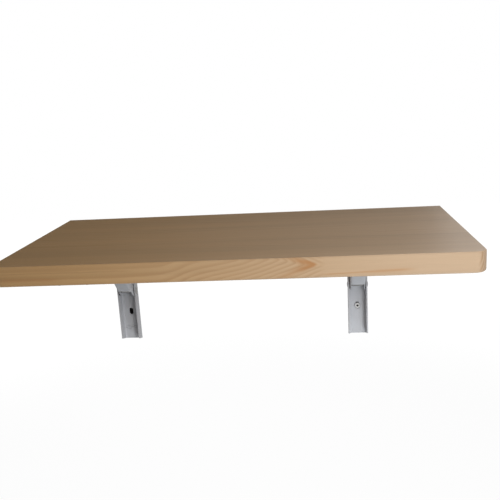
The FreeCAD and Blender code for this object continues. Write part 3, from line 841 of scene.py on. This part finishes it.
def slot_shade_patch(stage):
    """Painted shade seen through a slot: a dark patch, which can't be seen from behind."""
    material, finish = new_finish("slot_shade_patch")
    matt = finish.node("ShaderNodeBsdfDiffuse", None, {"Color": solid(stage.shade_patch_colour)}).outputs[0]
    finish.show(finish.one_sided(matt))
    return material


def dark_card(stage):
    """Even dark grey of the card that the leaf mirrors."""
    material, finish = new_finish("dark_card")
    finish.show(finish.node("ShaderNodeEmission", None, {"Strength": stage.card_level}).outputs[0])
    return material


def light_room(stage):
    """Even light from all around, with a white background."""
    world = bpy.data.worlds.new("studio")
    world.use_nodes = True
    bpy.context.scene.world = world
    finish = Finish(world.node_tree)
    white_level = 1.0
    room, white = [
        finish.node("ShaderNodeBackground", None, {"Color": (1, 1, 1, 1), "Strength": level}).outputs[0]
        for level in (stage.room_light, white_level)
    ]
    shown = finish.mixed(finish.seen(), room, white)
    finish.node("ShaderNodeOutputWorld", None, {"Surface": shown})


def add_softbox(name, place, size, power, colour=(1, 1, 1)):
    """Soft square lamp that faces the frame's origin, between the brackets."""
    lamp = bpy.data.lights.new(name, "AREA")
    lamp.color = colour
    lamp.size = size
    lamp.energy = power
    holder = new_object(name, lamp)
    holder.location = place
    holder.rotation_mode = "QUATERNION"
    holder.rotation_quaternion = (-Vector(place)).to_track_quat("-Z", "Y")
    holder.visible_camera = False
    holder.visible_glossy = False


def add_camera(stage):
    """Camera at the settings' place, with its view turned by pan, tilt and roll."""
    ahead = Vector((
        math.sin(stage.camera_pan) * math.cos(stage.camera_tilt),
        math.cos(stage.camera_pan) * math.cos(stage.camera_tilt),
        math.sin(stage.camera_tilt),
    ))
    level = Vector((math.cos(stage.camera_pan), -math.sin(stage.camera_pan), 0))
    upright = level.cross(ahead)
    right = math.cos(stage.camera_roll) * level + math.sin(stage.camera_roll) * upright
    top = -math.sin(stage.camera_roll) * level + math.cos(stage.camera_roll) * upright
    lens = bpy.data.cameras.new("camera")
    lens.sensor_width = 36
    lens.sensor_fit = "HORIZONTAL"
    lens.lens = stage.camera_lens
    lens.clip_start = 0.01
    camera = new_object("camera", lens)
    turned = Matrix((right, top, -ahead)).transposed().to_4x4()
    camera.matrix_world = Matrix.Translation(stage.camera_place) @ turned
    bpy.context.scene.camera = camera


class BuildStage(Operator):
    """Builds the floor, light and camera"""

    bl_idname = "drop_leaf_table.build_stage"
    bl_label = "Build stage"

    def execute(self, context):
        stage = table_settings(context).stage
        reach = stage.floor_reach
        square = ((-reach, -reach), (reach, -reach), (reach, reach), (-reach, reach))
        floor = [(x, y, stage.floor_height) for x, y in square]
        new_backdrop("floor", floor, pale_floor(stage))

        # Painted shade behind each lower slot, seen through it from the front.
        slot_shade_finish = slot_shade_patch(stage)
        for side in SIDES:
            middle = slot_place(side) + Vector((0, stage.shade_patch_depth, 0))
            outline = slot_outline(middle, stage.shade_patch_width, stage.shade_patch_height)
            new_backdrop(f"{side}_slot_shade", outline, slot_shade_finish)

        # Card that only reflections see, so that the leaf mirrors white at its right end alone
        left, right, low, high = stage.card_left, stage.card_edge, stage.card_foot, stage.card_top
        upright = ((left, low), (right, low), (right, high), (left, high))
        corners = [(x, stage.card_back, z) for x, z in upright]
        card = new_backdrop("mirrored_card", corners, dark_card(stage))
        card.visible_camera = False
        card.visible_diffuse = False
        card.visible_shadow = False

        light_room(stage)
        add_softbox("key", stage.key_place, stage.key_size, stage.key_power)
        add_softbox("low", stage.low_place, stage.low_size, stage.low_power, stage.low_colour)
        add_softbox("top", stage.top_place, stage.top_size, stage.top_power)
        add_softbox("back", stage.back_place, stage.back_size, stage.back_power)
        add_camera(stage)
        context.scene.view_settings.view_transform = "Standard"
        return {"FINISHED"}


OPERATORS = (
    FinishLeaf, FinishBrackets, FinishPins, FinishCatches, FinishWashers,
    AddWoodScrews, AddWallScrew, BuildStage,
)


class TablePanel(Panel):
    """Lists the table's settings and steps"""

    bl_idname = "VIEW3D_PT_drop_leaf_table"
    bl_label = "Drop leaf table"
    bl_space_type = "VIEW_3D"
    bl_region_type = "UI"
    bl_category = "Table"

    def draw(self, context):
        settings = table_settings(context)
        for group in (settings.leaf, settings.steel, settings.screws, settings.stage):
            box = self.layout.box()
            for name in group.__annotations__:
                box.prop(group, name)
        for step in OPERATORS:
            self.layout.operator(step.bl_idname)


CLASSES = (
    LeafSettings, SteelSettings, ScrewSettings, StageSettings, TableSettings, *OPERATORS, TablePanel,
)


def register():
    for kind in CLASSES:
        bpy.utils.register_class(kind)
    bpy.types.Scene.drop_leaf_table = PointerProperty(type=TableSettings)


def unregister():
    del bpy.types.Scene.drop_leaf_table
    for kind in reversed(CLASSES):
        bpy.utils.unregister_class(kind)


def main():
    register()
    bpy.ops.drop_leaf_table.finish_leaf()
    bpy.ops.drop_leaf_table.finish_brackets()
    bpy.ops.drop_leaf_table.finish_pins()
    bpy.ops.drop_leaf_table.finish_catches()
    bpy.ops.drop_leaf_table.finish_washers()
    bpy.ops.drop_leaf_table.add_wood_screws()
    bpy.ops.drop_leaf_table.add_wall_screw()
    bpy.ops.drop_leaf_table.build_stage()


if __name__ == "__main__":
    main()
